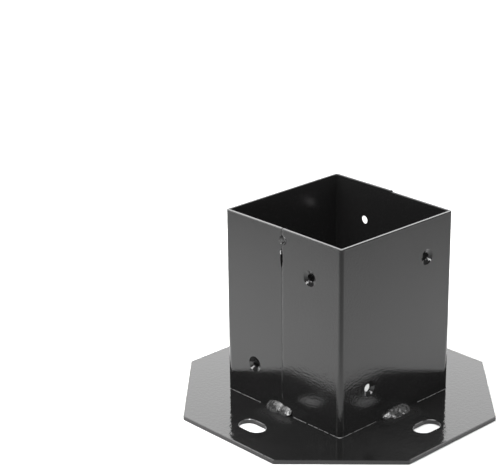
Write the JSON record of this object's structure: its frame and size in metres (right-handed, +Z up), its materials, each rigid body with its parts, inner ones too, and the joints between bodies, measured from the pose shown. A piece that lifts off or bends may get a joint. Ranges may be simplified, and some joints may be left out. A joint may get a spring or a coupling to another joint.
{
  "type": "deck post base",
  "caption": "Square sheet-metal sleeve for a wooden deck post, welded to an eight-sided floor plate with anchor slots, a drain opening and countersunk screw holes in the walls.",
  "frame": {"origin": "middle of the plate's underside, on the floor", "axes": "+Z up along the post; X and Y square to the sleeve's walls, with the two seams on the walls that face -X and +X"},
  "size_m": [0.186, 0.186, 0.1204],
  "materials": {
    "black_coat": "gloss black powder coat with a fine orange peel",
    "coated_weld": "gloss black powder coat over a rippled weld"
  },
  "bodies": {
    "root": {"base_plate": "black_coat", "sleeve_half_front": "black_coat", "sleeve_half_back": "black_coat", "foot_weld_left": "coated_weld", "foot_weld_front": "coated_weld", "foot_weld_right": "coated_weld", "foot_weld_back": "coated_weld", "seam_tack_left": "coated_weld", "seam_tack_right": "coated_weld"}
  },
  "joints": []
}
